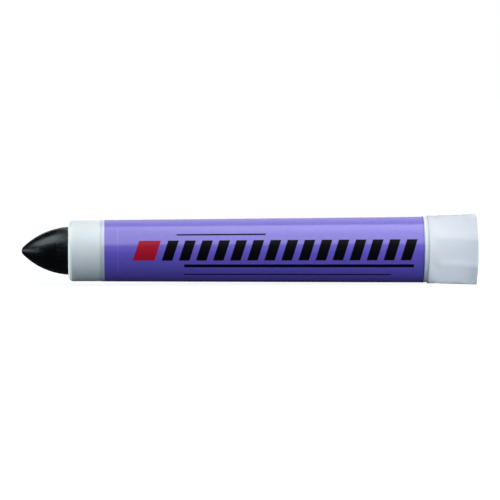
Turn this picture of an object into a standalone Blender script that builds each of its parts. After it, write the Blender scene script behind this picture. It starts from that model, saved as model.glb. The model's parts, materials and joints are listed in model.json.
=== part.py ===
"""Twist-up solid paint marker: a tapered barrel round a stick of solid paint, with a screw feed behind it.

The marker lies along X with its tip towards -X, resting on one flat of the knob. Distances along it are
measured from the tip of the stick, in the frame of the empty marker_axis, whose X axis is the axis of every
turned piece. Turning the knob turns the feed screw. The carrier is keyed to ribs in the barrel, so it can't
turn with the screw and climbs along it instead, pushing the paint stick out of the collar.
"""

import math

import bmesh
import bpy
from mathutils import Matrix

# Driving dimensions, in metres

# Paint stick: a cylinder with a tangent ogive and a small round nose
STICK_DIAMETER = 0.0130
OGIVE_LENGTH = 0.01465
NOSE_RADIUS = 0.0015
TIP_EXPOSED = 0.0129

# Barrel moulding: a straight collar, a tapered body under the label and a narrow bare band behind it
COLLAR_LENGTH = 0.0087
COLLAR_WALL = 0.001625
COLLAR_BORE_LENGTH = 0.0097
LIP_ROUND = 0.0010
MOUTH_ROUND = 0.00025
RIB_COUNT = 4
RIB_HEIGHT = 0.0005
RIB_WIDTH = 0.0016
REAR_WALL = 0.00175
REAR_BAND = 0.00085
REAR_ROUND = 0.0004

# Label film, wrapped round a shallow panel of the barrel
LABEL_LENGTH = 0.0876
LABEL_RECESS = 0.00006
FILM_THICKNESS = 0.00008

# Twist knob: a hollow octagonal cup with a round rim, a hub and spokes
KNOB_LENGTH = 0.01305
KNOB_FLATS = 8
KNOB_RIM_STEP = 0.0003
KNOB_RIM_LENGTH = 0.0011
KNOB_BLEND_LENGTH = 0.0026
KNOB_FLAT_INSET = 0.00023
KNOB_FLARE = 0.000395
KNOB_CORNER_RADIUS = 0.0016
KNOB_FRONT_ROUND = 0.0003
KNOB_REAR_ROUND = 0.0004
KNOB_WALL = 0.0014
KNOB_END_WALL = 0.0020
HUB_WALL = 0.0015
SPOKE_COUNT = 4
SPOKE_WIDTH = 0.0012
SPOKE_SETBACK = 0.0012

# Bearing bush, closing the rear of the barrel
BUSH_LENGTH = 0.0062
BUSH_STEP = 0.0003
SEAL_SECTION = 0.0016

# Feed screw: a coarse left-hand ridge, so that a clockwise turn seen from the knob feeds the stick
SCREW_DIAMETER = 0.0060
SCREW_CORE_DIAMETER = 0.0044
SCREW_LEAD = 0.0040
RIDGE_BASE = 0.0018
RIDGE_CREST = 0.0010
SCREW_POINT = 0.0008
FLANGE_DIAMETER = 0.0110
FLANGE_THICKNESS = 0.0020
JOURNAL_DIAMETER = 0.0060
TAIL_SHOULDER = 0.00015
TAIL_FLOOR = 0.0028

# Stick carrier: a keyed disc with a threaded boss that stands in the stick
DISC_THICKNESS = 0.0030
BOSS_DIAMETER = 0.0086
BOSS_LENGTH = 0.0080
FEED_RESERVE = 0.01165
LEAST_ENGAGEMENT = 0.0070

# Clearances
STICK_CLEARANCE = 0.0002
BORE_CLEARANCE = 0.0003
CARRIER_CLEARANCE = 0.0002
THREAD_CLEARANCE = 0.0002
JOURNAL_CLEARANCE = 0.00015
TAIL_CLEARANCE = 0.0001
RUNNING_GAP = 0.0003
SEAT_GAP = 0.0001
FILM_GAP = 0.00004

# Overlap of shapes that a union joins, and how far a cutter runs past the face that it opens
OVERLAP = 0.0003

# Facets
ROUND_SIDES = 64
SMALL_SIDES = 24
STEPS_PER_TURN = 16
FLAT_STEPS = 4
CORNER_STEPS = 4
ROUND_STEPS = 3
OGIVE_STEPS = 10
BLEND_STEPS = 4
SECTION_SIDES = 12
SMOOTH_ANGLE = math.radians(30)
MERGE_DISTANCE = 1e-7

# Radii worked out from the driving dimensions
STICK_RADIUS = STICK_DIAMETER / 2
COLLAR_BORE = STICK_RADIUS + STICK_CLEARANCE
COLLAR_RADIUS = COLLAR_BORE + COLLAR_WALL
GUIDE_BORE = COLLAR_BORE + RIB_HEIGHT
BAND_RADIUS = GUIDE_BORE + REAR_WALL
BUSH_SEAT = GUIDE_BORE + BUSH_STEP
SCREW_RADIUS = SCREW_DIAMETER / 2
CORE_RADIUS = SCREW_CORE_DIAMETER / 2
JOURNAL_RADIUS = JOURNAL_DIAMETER / 2
TAIL_HALF_WIDTH = (JOURNAL_RADIUS - TAIL_SHOULDER) / math.sqrt(2)
RIM_RADIUS = BAND_RADIUS + KNOB_RIM_STEP
HUB_RADIUS = JOURNAL_RADIUS + HUB_WALL
CAVITY_RADIUS = RIM_RADIUS - KNOB_FLAT_INSET - KNOB_WALL

# Places along the axis, from the tip of the stick
COLLAR_FRONT = TIP_EXPOSED
COLLAR_SHOULDER = COLLAR_FRONT + COLLAR_BORE_LENGTH
LABEL_FRONT = COLLAR_FRONT + COLLAR_LENGTH
LABEL_REAR = LABEL_FRONT + LABEL_LENGTH
BARREL_REAR = LABEL_REAR + REAR_BAND
KNOB_FRONT = BARREL_REAR + RUNNING_GAP
TOTAL_LENGTH = KNOB_FRONT + KNOB_LENGTH
BUSH_SHOULDER = BARREL_REAR - BUSH_LENGTH - SEAT_GAP
BUSH_FRONT = BARREL_REAR - BUSH_LENGTH
FLANGE_REAR = BUSH_FRONT - RUNNING_GAP
FLANGE_FRONT = FLANGE_REAR - FLANGE_THICKNESS
CARRIER_REAR = FLANGE_FRONT - RUNNING_GAP
DISC_FRONT = CARRIER_REAR - DISC_THICKNESS
BOSS_FRONT = DISC_FRONT - BOSS_LENGTH
STICK_REAR = DISC_FRONT - SEAT_GAP
FEED_TRAVEL = DISC_FRONT - COLLAR_SHOULDER - FEED_RESERVE
SCREW_FRONT = CARRIER_REAR - FEED_TRAVEL - LEAST_ENGAGEMENT
RIDGE_START = SCREW_FRONT + SCREW_POINT + RIDGE_BASE
TAIL_REAR = TOTAL_LENGTH - TAIL_FLOOR - SEAT_GAP


def material(name, colour, roughness):
    made = bpy.data.materials.new(name)
    made.use_nodes = True
    shader = made.node_tree.nodes["Principled BSDF"]
    shader.inputs["Base Color"].default_value = (*colour, 1.0)
    shader.inputs["Roughness"].default_value = roughness
    return made


def piece(name, bm, axis, finish=None):
    """The object of a closed mesh, shaded smooth. A shape with no finish only cuts or joins others."""
    bmesh.ops.recalc_face_normals(bm, faces=bm.faces)
    mesh = bpy.data.meshes.new(name)
    bm.to_mesh(mesh)
    bm.free()
    mesh.shade_smooth()
    mesh.set_sharp_from_angle(angle=SMOOTH_ANGLE)
    made = bpy.data.objects.new(name, mesh)
    made.parent = axis
    bpy.context.scene.collection.objects.link(made)
    if finish:
        mesh.materials.append(finish)
    else:
        made.hide_render = True
        made.display_type = "WIRE"
    return made


def boolean(target, operation, other):
    modifier = target.modifiers.new(other.name, "BOOLEAN")
    modifier.operation = operation
    modifier.object = other


def arc(centre, radius, start, end, steps):
    """Points (x, radius) of an arc in the half plane of a turned outline, both ends included."""
    angles = [start + (end - start) * step / steps for step in range(steps + 1)]
    return [(centre[0] + radius * math.cos(a), centre[1] + radius * math.sin(a)) for a in angles]


def turned(name, outline, sides, axis, finish=None):
    """A solid of revolution about X, from a closed outline of (x, radius) points."""
    bm = bmesh.new()
    points = [bm.verts.new((x, 0.0, radius)) for x, radius in outline]
    edges = []
    for first, second in zip(points, points[1:] + points[:1]):
        if first.co.z > 0.0 or second.co.z > 0.0:
            edges.append(bm.edges.new((first, second)))
    bmesh.ops.spin(
        bm,
        geom=points + edges,
        cent=(0.0, 0.0, 0.0),
        axis=(1.0, 0.0, 0.0),
        angle=2 * math.pi,
        steps=sides,
        use_merge=True,
    )
    bmesh.ops.remove_doubles(bm, verts=bm.verts, dist=MERGE_DISTANCE)
    return piece(name, bm, axis, finish)


def ring_of_blocks(name, count, span, reach, width, axis):
    """Blocks set radially round X: along it by span, out from it by reach, as one helper shape."""
    bm = bmesh.new()
    for index in range(count):
        block = bmesh.ops.create_cube(bm, size=1.0)["verts"]
        bmesh.ops.scale(bm, vec=(span[1] - span[0], width, reach[1] - reach[0]), verts=block)
        centre = ((span[0] + span[1]) / 2, 0.0, (reach[0] + reach[1]) / 2)
        bmesh.ops.translate(bm, vec=centre, verts=block)
        rotation = Matrix.Rotation((index + 0.5) * 2 * math.pi / count, 3, "X")
        bmesh.ops.rotate(bm, cent=(0.0, 0.0, 0.0), matrix=rotation, verts=block)
    return piece(name, bm, axis)


def square_bar(name, span, half_width, axis):
    bm = bmesh.new()
    bar = bmesh.ops.create_cube(bm, size=1.0)["verts"]
    bmesh.ops.scale(bm, vec=(span[1] - span[0], 2 * half_width, 2 * half_width), verts=bar)
    bmesh.ops.translate(bm, vec=((span[0] + span[1]) / 2, 0.0, 0.0), verts=bar)
    return piece(name, bm, axis)


def coil(name, start, length, inner, outer, crest, axis):
    """The ridge of the feed screw: its section swept along the left-hand helix, from start."""
    slope = (RIDGE_BASE - RIDGE_CREST) / (SCREW_RADIUS - CORE_RADIUS)
    base = crest + slope * (outer - inner)
    steps = math.floor(length / SCREW_LEAD * STEPS_PER_TURN)
    # Turned by a quarter step, so that its edges cross the facets of the core away from their corners
    first_angle = math.pi / (2 * STEPS_PER_TURN)
    bm = bmesh.new()
    corners = []
    for half_width, radius in ((-base / 2, inner), (-crest / 2, outer), (crest / 2, outer), (base / 2, inner)):
        place = (start + half_width, radius * math.sin(first_angle), radius * math.cos(first_angle))
        corners.append(bm.verts.new(place))
    section = bm.faces.new(corners)
    bmesh.ops.spin(
        bm,
        geom=[section, *section.edges, *section.verts],
        cent=(0.0, 0.0, 0.0),
        axis=(1.0, 0.0, 0.0),
        dvec=(SCREW_LEAD / STEPS_PER_TURN, 0.0, 0.0),
        angle=-2 * math.pi * steps / STEPS_PER_TURN,
        steps=steps,
    )
    return piece(name, bm, axis)


def seat_radius(x):
    """Radius of the tapered panel that the label lies on."""
    front = COLLAR_RADIUS - LABEL_RECESS
    rear = BAND_RADIUS - LABEL_RECESS
    return front + (rear - front) * (x - LABEL_FRONT) / LABEL_LENGTH


def paint_stick(axis):
    ogive_radius = (STICK_RADIUS**2 + OGIVE_LENGTH**2) / (2 * STICK_RADIUS)
    drop = ogive_radius - STICK_RADIUS
    reach = ogive_radius - NOSE_RADIUS
    # The nose is a ball that touches the ogive from inside, where the line of their centres meets both
    ogive_centre = (NOSE_RADIUS + math.sqrt(reach**2 - drop**2), -drop)
    touch = math.pi - math.asin(drop / reach)
    bore = SCREW_RADIUS + BORE_CLEARANCE
    bore_front = SCREW_FRONT - BORE_CLEARANCE
    recess = BOSS_DIAMETER / 2 + STICK_CLEARANCE
    recess_front = BOSS_FRONT - BORE_CLEARANCE
    outline = [(0.0, 0.0)]
    outline += arc((NOSE_RADIUS, 0.0), NOSE_RADIUS, math.pi, touch, ROUND_STEPS)[1:]
    outline += arc(ogive_centre, ogive_radius, touch, math.pi / 2, OGIVE_STEPS)[1:]
    outline += [
        (STICK_REAR, STICK_RADIUS),
        (STICK_REAR, recess),
        (recess_front, recess),
        (recess_front, bore),
        (bore_front, bore),
        (bore_front - bore, 0.0),
    ]
    return turned("paint_stick", outline, ROUND_SIDES, axis, material("black_paint", (0.012, 0.012, 0.013), 0.45))


def barrel(axis):
    lip_centre = (COLLAR_FRONT + LIP_ROUND, COLLAR_RADIUS - LIP_ROUND)
    mouth_centre = (COLLAR_FRONT + MOUTH_ROUND, COLLAR_BORE + MOUTH_ROUND)
    rear_centre = (BARREL_REAR - REAR_ROUND, BAND_RADIUS - REAR_ROUND)
    outline = arc(mouth_centre, MOUTH_ROUND, -math.pi / 2, -math.pi, ROUND_STEPS)
    outline += arc(lip_centre, LIP_ROUND, math.pi, math.pi / 2, 2 * ROUND_STEPS)
    outline += [
        (LABEL_FRONT, COLLAR_RADIUS),
        (LABEL_FRONT, seat_radius(LABEL_FRONT)),
        (LABEL_REAR, seat_radius(LABEL_REAR)),
        (LABEL_REAR, BAND_RADIUS),
    ]
    outline += arc(rear_centre, REAR_ROUND, math.pi / 2, 0.0, ROUND_STEPS)
    outline += [
        (BARREL_REAR, BUSH_SEAT),
        (BUSH_SHOULDER, BUSH_SEAT),
        (BUSH_SHOULDER, GUIDE_BORE),
        (COLLAR_SHOULDER, GUIDE_BORE),
        (COLLAR_SHOULDER, COLLAR_BORE),
    ]
    made = turned("barrel", outline, ROUND_SIDES, axis, material("white_plastic", (0.80, 0.82, 0.83), 0.35))
    span = (COLLAR_SHOULDER - OVERLAP, BUSH_SHOULDER - RUNNING_GAP)
    reach = (COLLAR_BORE, GUIDE_BORE + OVERLAP)
    boolean(made, "UNION", ring_of_blocks("guide_ribs", RIB_COUNT, span, reach, RIB_WIDTH, axis))
    return made


def label(axis):
    front = LABEL_FRONT + SEAT_GAP
    rear = LABEL_REAR - SEAT_GAP
    outline = [
        (front, seat_radius(front) + FILM_GAP),
        (front, seat_radius(front) + FILM_GAP + FILM_THICKNESS),
        (rear, seat_radius(rear) + FILM_GAP + FILM_THICKNESS),
        (rear, seat_radius(rear) + FILM_GAP),
    ]
    return turned("label", outline, ROUND_SIDES, axis, material("purple_film", (0.105, 0.082, 0.46), 0.25))


def stick_carrier(axis):
    boss = BOSS_DIAMETER / 2
    bore = CORE_RADIUS + THREAD_CLEARANCE
    disc = GUIDE_BORE - CARRIER_CLEARANCE
    outline = [(BOSS_FRONT, bore), (BOSS_FRONT, boss), (DISC_FRONT, boss), (DISC_FRONT, disc)]
    outline += [(CARRIER_REAR, disc), (CARRIER_REAR, bore)]
    made = turned("stick_carrier", outline, SMALL_SIDES, axis, material("carrier_plastic", (0.70, 0.72, 0.72), 0.45))
    span = (DISC_FRONT - OVERLAP, CARRIER_REAR + OVERLAP)
    reach = (COLLAR_BORE - CARRIER_CLEARANCE, GUIDE_BORE + OVERLAP)
    width = RIB_WIDTH + 2 * CARRIER_CLEARANCE
    boolean(made, "DIFFERENCE", ring_of_blocks("key_slots", RIB_COUNT, span, reach, width, axis))
    # Whole leads from the start of the ridge keep the groove in step with it
    turns_ahead = math.floor((BOSS_FRONT - RIDGE_START) / SCREW_LEAD) - 1
    start = RIDGE_START + turns_ahead * SCREW_LEAD
    groove = coil(
        "nut_groove",
        start,
        CARRIER_REAR + SCREW_LEAD - start,
        bore - OVERLAP,
        SCREW_RADIUS + THREAD_CLEARANCE,
        RIDGE_CREST + 2 * THREAD_CLEARANCE,
        axis,
    )
    boolean(made, "DIFFERENCE", groove)
    return made


def feed_screw(axis):
    flange = FLANGE_DIAMETER / 2
    journal_rear = KNOB_FRONT
    outline = [
        (SCREW_FRONT, 0.0),
        (SCREW_FRONT, CORE_RADIUS - SCREW_POINT),
        (SCREW_FRONT + SCREW_POINT, CORE_RADIUS),
        (FLANGE_FRONT, CORE_RADIUS),
        (FLANGE_FRONT, flange),
        (FLANGE_REAR, flange),
        (FLANGE_REAR, JOURNAL_RADIUS),
        (journal_rear, JOURNAL_RADIUS),
        (journal_rear, 0.0),
    ]
    made = turned("feed_screw", outline, SMALL_SIDES, axis, material("screw_plastic", (0.62, 0.64, 0.64), 0.40))
    ridge_length = FLANGE_FRONT - RIDGE_BASE - RIDGE_START
    ridge = coil("feed_ridge", RIDGE_START, ridge_length, CORE_RADIUS - OVERLAP, SCREW_RADIUS, RIDGE_CREST, axis)
    boolean(made, "UNION", ridge)
    tail = square_bar("drive_tail", (journal_rear - OVERLAP, TAIL_REAR), TAIL_HALF_WIDTH, axis)
    boolean(made, "UNION", tail)
    return made


def seal_ring(axis):
    section = SEAL_SECTION / 2
    centre = (BUSH_FRONT + SEAT_GAP + section, JOURNAL_RADIUS + SEAT_GAP + section)
    outline = arc(centre, section, 0.0, 2 * math.pi, SECTION_SIDES)[:-1]
    return turned("seal_ring", outline, SMALL_SIDES, axis, material("seal_rubber", (0.02, 0.02, 0.02), 0.60))


def bearing_bush(axis):
    bore = JOURNAL_RADIUS + JOURNAL_CLEARANCE
    outside = BUSH_SEAT - SEAT_GAP
    seal_seat = JOURNAL_RADIUS + SEAL_SECTION + 2 * SEAT_GAP
    seal_floor = BUSH_FRONT + SEAL_SECTION + 2 * SEAT_GAP
    outline = [
        (BUSH_FRONT, seal_seat),
        (BUSH_FRONT, outside),
        (BARREL_REAR, outside),
        (BARREL_REAR, bore),
        (seal_floor, bore),
        (seal_floor, seal_seat),
    ]
    return turned("bearing_bush", outline, ROUND_SIDES, axis, material("bush_plastic", (0.72, 0.74, 0.75), 0.40))


def knob_flat(distance):
    """Distance of the knob's flats from the axis, this far behind its front."""
    return RIM_RADIUS - KNOB_FLAT_INSET + KNOB_FLARE * distance / KNOB_LENGTH


def knob_ring(distance, inset=0.0):
    """Points of the knob's section: a circle at the rim, blending into an octagon with rounded corners."""
    half_turn = math.pi / KNOB_FLATS
    flat = knob_flat(distance) - inset
    corner_centre = (flat - KNOB_CORNER_RADIUS, (flat - KNOB_CORNER_RADIUS) * math.tan(half_turn))
    share = min(max((distance - KNOB_RIM_LENGTH) / KNOB_BLEND_LENGTH, 0.0), 1.0)
    blend = share * share * (3 - 2 * share)
    side = [(flat, corner_centre[1] * (2 * step / FLAT_STEPS - 1)) for step in range(FLAT_STEPS)]
    side += arc(corner_centre, KNOB_CORNER_RADIUS, 0.0, 2 * half_turn, CORNER_STEPS)[:-1]
    points = []
    for index in range(KNOB_FLATS):
        for out, across in side:
            angle = math.atan2(across, out) + 2 * half_turn * index
            radius = (1 - blend) * (RIM_RADIUS - inset) + blend * math.hypot(out, across)
            points.append((radius * math.sin(angle), radius * math.cos(angle)))
    return [(KNOB_FRONT + distance, y, z) for y, z in points]


def knob_rings():
    """Sections from the rounded front edge to the rounded rear edge."""
    rings = []
    for step in range(ROUND_STEPS + 1):
        turn = math.pi / 2 * step / ROUND_STEPS
        rings.append(knob_ring(KNOB_FRONT_ROUND * (1 - math.cos(turn)), KNOB_FRONT_ROUND * (1 - math.sin(turn))))
    for step in range(BLEND_STEPS + 1):
        rings.append(knob_ring(KNOB_RIM_LENGTH + KNOB_BLEND_LENGTH * step / BLEND_STEPS))
    for step in range(ROUND_STEPS + 1):
        turn = math.pi / 2 * step / ROUND_STEPS
        distance = KNOB_LENGTH - KNOB_REAR_ROUND * (1 - math.sin(turn))
        rings.append(knob_ring(distance, KNOB_REAR_ROUND * (1 - math.cos(turn))))
    return rings


def twist_knob(axis):
    bm = bmesh.new()
    rings = [[bm.verts.new(place) for place in ring] for ring in knob_rings()]
    for front, rear in zip(rings, rings[1:]):
        for index in range(len(front)):
            after = (index + 1) % len(front)
            bm.faces.new((front[index], front[after], rear[after], rear[index]))
    bm.faces.new(rings[0])
    bm.faces.new(rings[-1])
    made = piece("twist_knob", bm, axis, material("knob_plastic", (0.70, 0.75, 0.82), 0.40))
    cavity_floor = TOTAL_LENGTH - KNOB_END_WALL
    outline = [
        (KNOB_FRONT - OVERLAP, HUB_RADIUS),
        (KNOB_FRONT - OVERLAP, CAVITY_RADIUS),
        (cavity_floor, CAVITY_RADIUS),
        (cavity_floor, HUB_RADIUS),
    ]
    boolean(made, "DIFFERENCE", turned("knob_cavity", outline, ROUND_SIDES, axis))
    span = (KNOB_FRONT + SPOKE_SETBACK, cavity_floor + OVERLAP)
    reach = (HUB_RADIUS - OVERLAP, CAVITY_RADIUS + OVERLAP)
    boolean(made, "UNION", ring_of_blocks("spokes", SPOKE_COUNT, span, reach, SPOKE_WIDTH, axis))
    socket_span = (KNOB_FRONT - OVERLAP, TOTAL_LENGTH - TAIL_FLOOR)
    socket = square_bar("drive_socket", socket_span, TAIL_HALF_WIDTH + TAIL_CLEARANCE, axis)
    boolean(made, "DIFFERENCE", socket)
    return made


def main():
    for old in list(bpy.data.objects):
        bpy.data.objects.remove(old)
    axis = bpy.data.objects.new("marker_axis", None)
    axis.location = (-TOTAL_LENGTH / 2, 0.0, knob_flat(KNOB_LENGTH - KNOB_REAR_ROUND))
    bpy.context.scene.collection.objects.link(axis)
    for make in (barrel, label, paint_stick, stick_carrier, feed_screw, seal_ring, bearing_bush, twist_knob):
        make(axis)


main()
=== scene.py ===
# %% [markdown]
# # A twist-up solid paint marker
# A solid paint marker is a thick stick of paint in a plastic barrel. Turning the knob at the rear drives
# a screw, and the screw pushes the stick out of the collar. This lesson dresses the CAD model of one:
# each visible piece is modelled afresh from rings of vertices, gets its own finish, and moves with the
# body that carries it.

# %% Load the frame
import json
import math

import bpy
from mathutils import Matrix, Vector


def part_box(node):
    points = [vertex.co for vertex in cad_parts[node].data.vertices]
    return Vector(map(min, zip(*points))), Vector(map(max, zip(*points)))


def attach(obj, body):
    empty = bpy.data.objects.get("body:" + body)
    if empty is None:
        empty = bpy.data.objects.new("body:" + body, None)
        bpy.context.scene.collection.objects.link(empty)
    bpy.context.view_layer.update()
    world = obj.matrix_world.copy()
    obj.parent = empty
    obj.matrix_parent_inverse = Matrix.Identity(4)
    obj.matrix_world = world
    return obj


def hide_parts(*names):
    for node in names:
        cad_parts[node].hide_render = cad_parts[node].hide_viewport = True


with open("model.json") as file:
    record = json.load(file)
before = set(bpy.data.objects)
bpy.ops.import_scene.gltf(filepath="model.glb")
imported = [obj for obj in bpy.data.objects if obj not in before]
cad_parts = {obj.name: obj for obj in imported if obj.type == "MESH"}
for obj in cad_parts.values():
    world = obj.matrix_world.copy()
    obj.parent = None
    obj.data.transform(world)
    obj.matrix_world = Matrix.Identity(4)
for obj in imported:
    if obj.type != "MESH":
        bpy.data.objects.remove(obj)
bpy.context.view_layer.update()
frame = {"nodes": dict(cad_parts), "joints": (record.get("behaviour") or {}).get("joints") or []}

# %% [markdown]
# ## Where the pieces are
# Every piece of this marker is built round one axis, so a piece is known by two numbers: how far along
# the axis it reaches, and how thick it is. Both are read from the CAD nodes, so the lesson has no second
# set of outer sizes. Millimetres are easier to read than metres, so small sizes below are written as a
# number times MM.

# %% Read the places
MM = 0.001
axis_z = frame["joints"][0]["pos_m"][2]
stick_low, stick_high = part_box("paint_stick")
barrel_low, barrel_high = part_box("barrel")
label_low, label_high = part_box("label")
knob_low, knob_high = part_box("twist_knob")
tip_x = stick_low.x
stick_radius = (stick_high.y - stick_low.y) / 2
band_radius = (barrel_high.y - barrel_low.y) / 2
film_rear_radius = (label_high.y - label_low.y) / 2
knob_reach = (knob_high.y - knob_low.y) / 2
print(f"axis at {axis_z / MM:.2f} mm, stick {stick_radius / MM:.3f}, band {band_radius / MM:.3f}")
print(f"film {film_rear_radius / MM:.3f}, knob {knob_reach / MM:.3f} mm from the axis")

# %% [markdown]
# ## The camera
# The photograph looks at the marker from the side, a little from above, through a long lens: the label's
# two edges are nearly straight, and the knob's far end hardly shrinks. A camera one metre away with a
# narrow field gives that. It is turned a degree and a half towards the point, which is why the collar's
# front ring shows as a slim curve.

# %% Set the camera
CAMERA_DISTANCE = 1.0
CAMERA_ELEVATION = math.radians(4.0)
CAMERA_AZIMUTH = math.radians(-1.6)
CAMERA_ROLL = math.radians(0.1)
FRAME_WIDTH = 135.85 * MM
SENSOR_WIDTH = 36.0
AIM_X = 0.40 * MM
AIM_DROP = 0.01 * MM
aim = (AIM_X, 0.0, axis_z - AIM_DROP)
bpy.ops.object.select_all(action="DESELECT")
bpy.ops.object.camera_add()
camera = bpy.context.object
camera.name = "photo_camera"
reach = CAMERA_DISTANCE * math.cos(CAMERA_ELEVATION)
camera.location = (
    aim[0] + reach * math.sin(CAMERA_AZIMUTH),
    aim[1] - reach * math.cos(CAMERA_AZIMUTH),
    aim[2] + CAMERA_DISTANCE * math.sin(CAMERA_ELEVATION),
)
camera.rotation_euler = (math.pi / 2 - CAMERA_ELEVATION, CAMERA_ROLL, CAMERA_AZIMUTH)
camera.data.sensor_width = SENSOR_WIDTH
camera.data.lens = SENSOR_WIDTH * CAMERA_DISTANCE / FRAME_WIDTH
bpy.context.scene.camera = camera
print(f"lens {camera.data.lens:.0f} mm")

# %% [markdown]
# ## Rings of vertices
# A turned or moulded round piece can be made by spinning an outline. Here it is grown instead: one circle
# of vertices is extruded along the axis again and again, and each new ring is resized about the axis.
# That keeps the edges in clean rings and lets a ring change its shape on the way, which the knob needs.

# %% Grow rings
ROUND_SIDES = 128


def on_axis(x):
    return (x, 0.0, axis_z)


def start_ring(name, x, radius, sides=ROUND_SIDES):
    bpy.ops.object.select_all(action="DESELECT")
    bpy.ops.mesh.primitive_circle_add(
        vertices=sides, radius=radius, location=on_axis(x), rotation=(0.0, math.pi / 2, 0.0)
    )
    made = bpy.context.object
    made.name = name
    bpy.ops.object.mode_set(mode="EDIT")
    return made


def next_ring(last, new):
    bpy.ops.mesh.extrude_region_move(TRANSFORM_OT_translate={"value": (new[0] - last[0], 0.0, 0.0)})
    growth = new[1] / last[1]
    bpy.ops.transform.resize(value=(growth, growth, growth), center_override=on_axis(new[0]))


def grow(name, outline, sides=ROUND_SIDES):
    made = start_ring(name, *outline[0], sides)
    for last, new in zip(outline, outline[1:]):
        next_ring(last, new)
    return made


def arc(centre, radius, start, end, steps):
    angles = [start + (end - start) * step / steps for step in range(steps + 1)]
    return [
        (centre[0] + radius * math.cos(angle), centre[1] + radius * math.sin(angle))
        for angle in angles
    ]


# %% Finish a mesh
MERGE_DISTANCE = 1e-7


def select_open_edges():
    bpy.ops.mesh.select_mode(type="VERT")
    bpy.ops.mesh.select_all(action="DESELECT")
    bpy.ops.mesh.select_non_manifold()


def finish_mesh(made, sharp_degrees):
    bpy.ops.mesh.select_all(action="SELECT")
    bpy.ops.mesh.remove_doubles(threshold=MERGE_DISTANCE)
    bpy.ops.mesh.normals_make_consistent(inside=False)
    bpy.ops.object.mode_set(mode="OBJECT")
    bpy.ops.object.transform_apply(location=True, rotation=True, scale=True)
    bpy.ops.object.shade_smooth_by_angle(angle=math.radians(sharp_degrees))
    print(f"{made.name}: {len(made.data.vertices)} vertices, {len(made.data.polygons)} faces")


# %% [markdown]
# ## The stick of paint
# The stick is cast: a plain cylinder whose point is an ogive, the curve of a bullet, with a small blunt
# nose. A shallow ring about ten millimetres behind the nose is left from the mould. From the rear go in
# the socket in which the carrier stands and the long hole that clears the feed screw. The rings start
# deep in that hole, come out at the rear and run forward to the nose, and both ends are pulled together
# to a pole.

# %% Work out the stick's point
OGIVE_LENGTH = 14.35 * MM
NOSE_RADIUS = 1.5 * MM
POLE_RADIUS = 0.04 * MM
PAINT_FULLNESS = 0.07 * MM
paint_radius = stick_radius + PAINT_FULLNESS
ogive_radius = (paint_radius**2 + OGIVE_LENGTH**2) / (2 * paint_radius)
drop = ogive_radius - paint_radius
ogive_reach = ogive_radius - NOSE_RADIUS
ogive_centre = (tip_x + NOSE_RADIUS + math.sqrt(ogive_reach**2 - drop**2), -drop)
touch = math.pi - math.asin(drop / ogive_reach)
nose_start = math.pi - math.asin(POLE_RADIUS / NOSE_RADIUS)
print(f"ogive of radius {ogive_radius / MM:.1f} mm on a stick of radius {paint_radius / MM:.2f} mm")


def ogive_at(distance):
    return math.sqrt(ogive_radius**2 - (tip_x + distance - ogive_centre[0]) ** 2) - drop


# %% Outline the stick
SCREW_HOLE = 3.3 * MM
SCREW_HOLE_FROM_TIP = 29.95 * MM
CARRIER_SOCKET = 4.5 * MM
CARRIER_SOCKET_FROM_TIP = 89.95 * MM
STICK_CHAMFER = 0.3 * MM
MOULD_RING = 9.5 * MM
MOULD_RING_HALF = 0.3 * MM
MOULD_RING_DEPTH = 0.04 * MM
screw_hole_front = tip_x + SCREW_HOLE_FROM_TIP
socket_front = tip_x + CARRIER_SOCKET_FROM_TIP
stick_outline = [
    (screw_hole_front - SCREW_HOLE, POLE_RADIUS),
    (screw_hole_front, SCREW_HOLE),
    (socket_front, SCREW_HOLE),
    (socket_front, CARRIER_SOCKET),
    (stick_high.x, CARRIER_SOCKET),
    (stick_high.x, paint_radius - STICK_CHAMFER),
    (stick_high.x - STICK_CHAMFER, paint_radius),
]
ogive_points = arc(ogive_centre, ogive_radius, math.pi / 2, touch, steps=40)
nose_points = arc((tip_x + NOSE_RADIUS, 0.0), NOSE_RADIUS, touch, nose_start, steps=12)
mould_ring = [
    (tip_x + MOULD_RING + MOULD_RING_HALF, ogive_at(MOULD_RING + MOULD_RING_HALF)),
    (tip_x + MOULD_RING, ogive_at(MOULD_RING) - MOULD_RING_DEPTH),
    (tip_x + MOULD_RING - MOULD_RING_HALF, ogive_at(MOULD_RING - MOULD_RING_HALF)),
]
behind_ring = [point for point in ogive_points if point[0] > mould_ring[0][0]]
before_ring = [point for point in ogive_points if point[0] < mould_ring[2][0]]
stick_outline += behind_ring + mould_ring + before_ring + nose_points[1:]
print("rings in the stick's outline:", len(stick_outline))

# %% Grow the stick
stick = grow("cast_paint_stick", stick_outline)
select_open_edges()
bpy.ops.mesh.merge(type="COLLAPSE")
finish_mesh(stick, sharp_degrees=40)
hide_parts("paint_stick")
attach(stick, "feed")

# %% [markdown]
# ## The barrel
# The barrel is one injection moulding: a collar with a rounded lip at the front, a long tapered panel
# that is sunk by the thickness of the label, and a narrow band behind the label with a soft rear edge.
# Inside, four ribs keep the carrier from turning. It could be a lathed outline cut by boxes. Here the
# rings run over the outside, round the rear end and back through the bore, the first and the last ring
# are bridged, and the ribs are faces of the bore pulled inwards, which needs no cuts. Lip and rear edge
# lie where the photograph shows them, within a fifth of a millimetre.

# %% Place the barrel's steps
LIP_FORWARD = 0.17 * MM
BAND_SHORT = 0.15 * MM
COLLAR_LENGTH = 8.7 * MM
COLLAR_BORE_LENGTH = 9.7 * MM
BUSH_SEAT_LENGTH = 6.3 * MM
REAR_BAND = 0.85 * MM
collar_front = barrel_low.x - LIP_FORWARD
band_rear = barrel_high.x - BAND_SHORT
collar_shoulder = barrel_low.x + COLLAR_BORE_LENGTH
bush_shoulder = barrel_high.x - BUSH_SEAT_LENGTH
panel_front = barrel_low.x + COLLAR_LENGTH
panel_rear = band_rear - REAR_BAND
print(f"label panel from {panel_front / MM:.2f} to {panel_rear / MM:.2f} mm")

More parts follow.
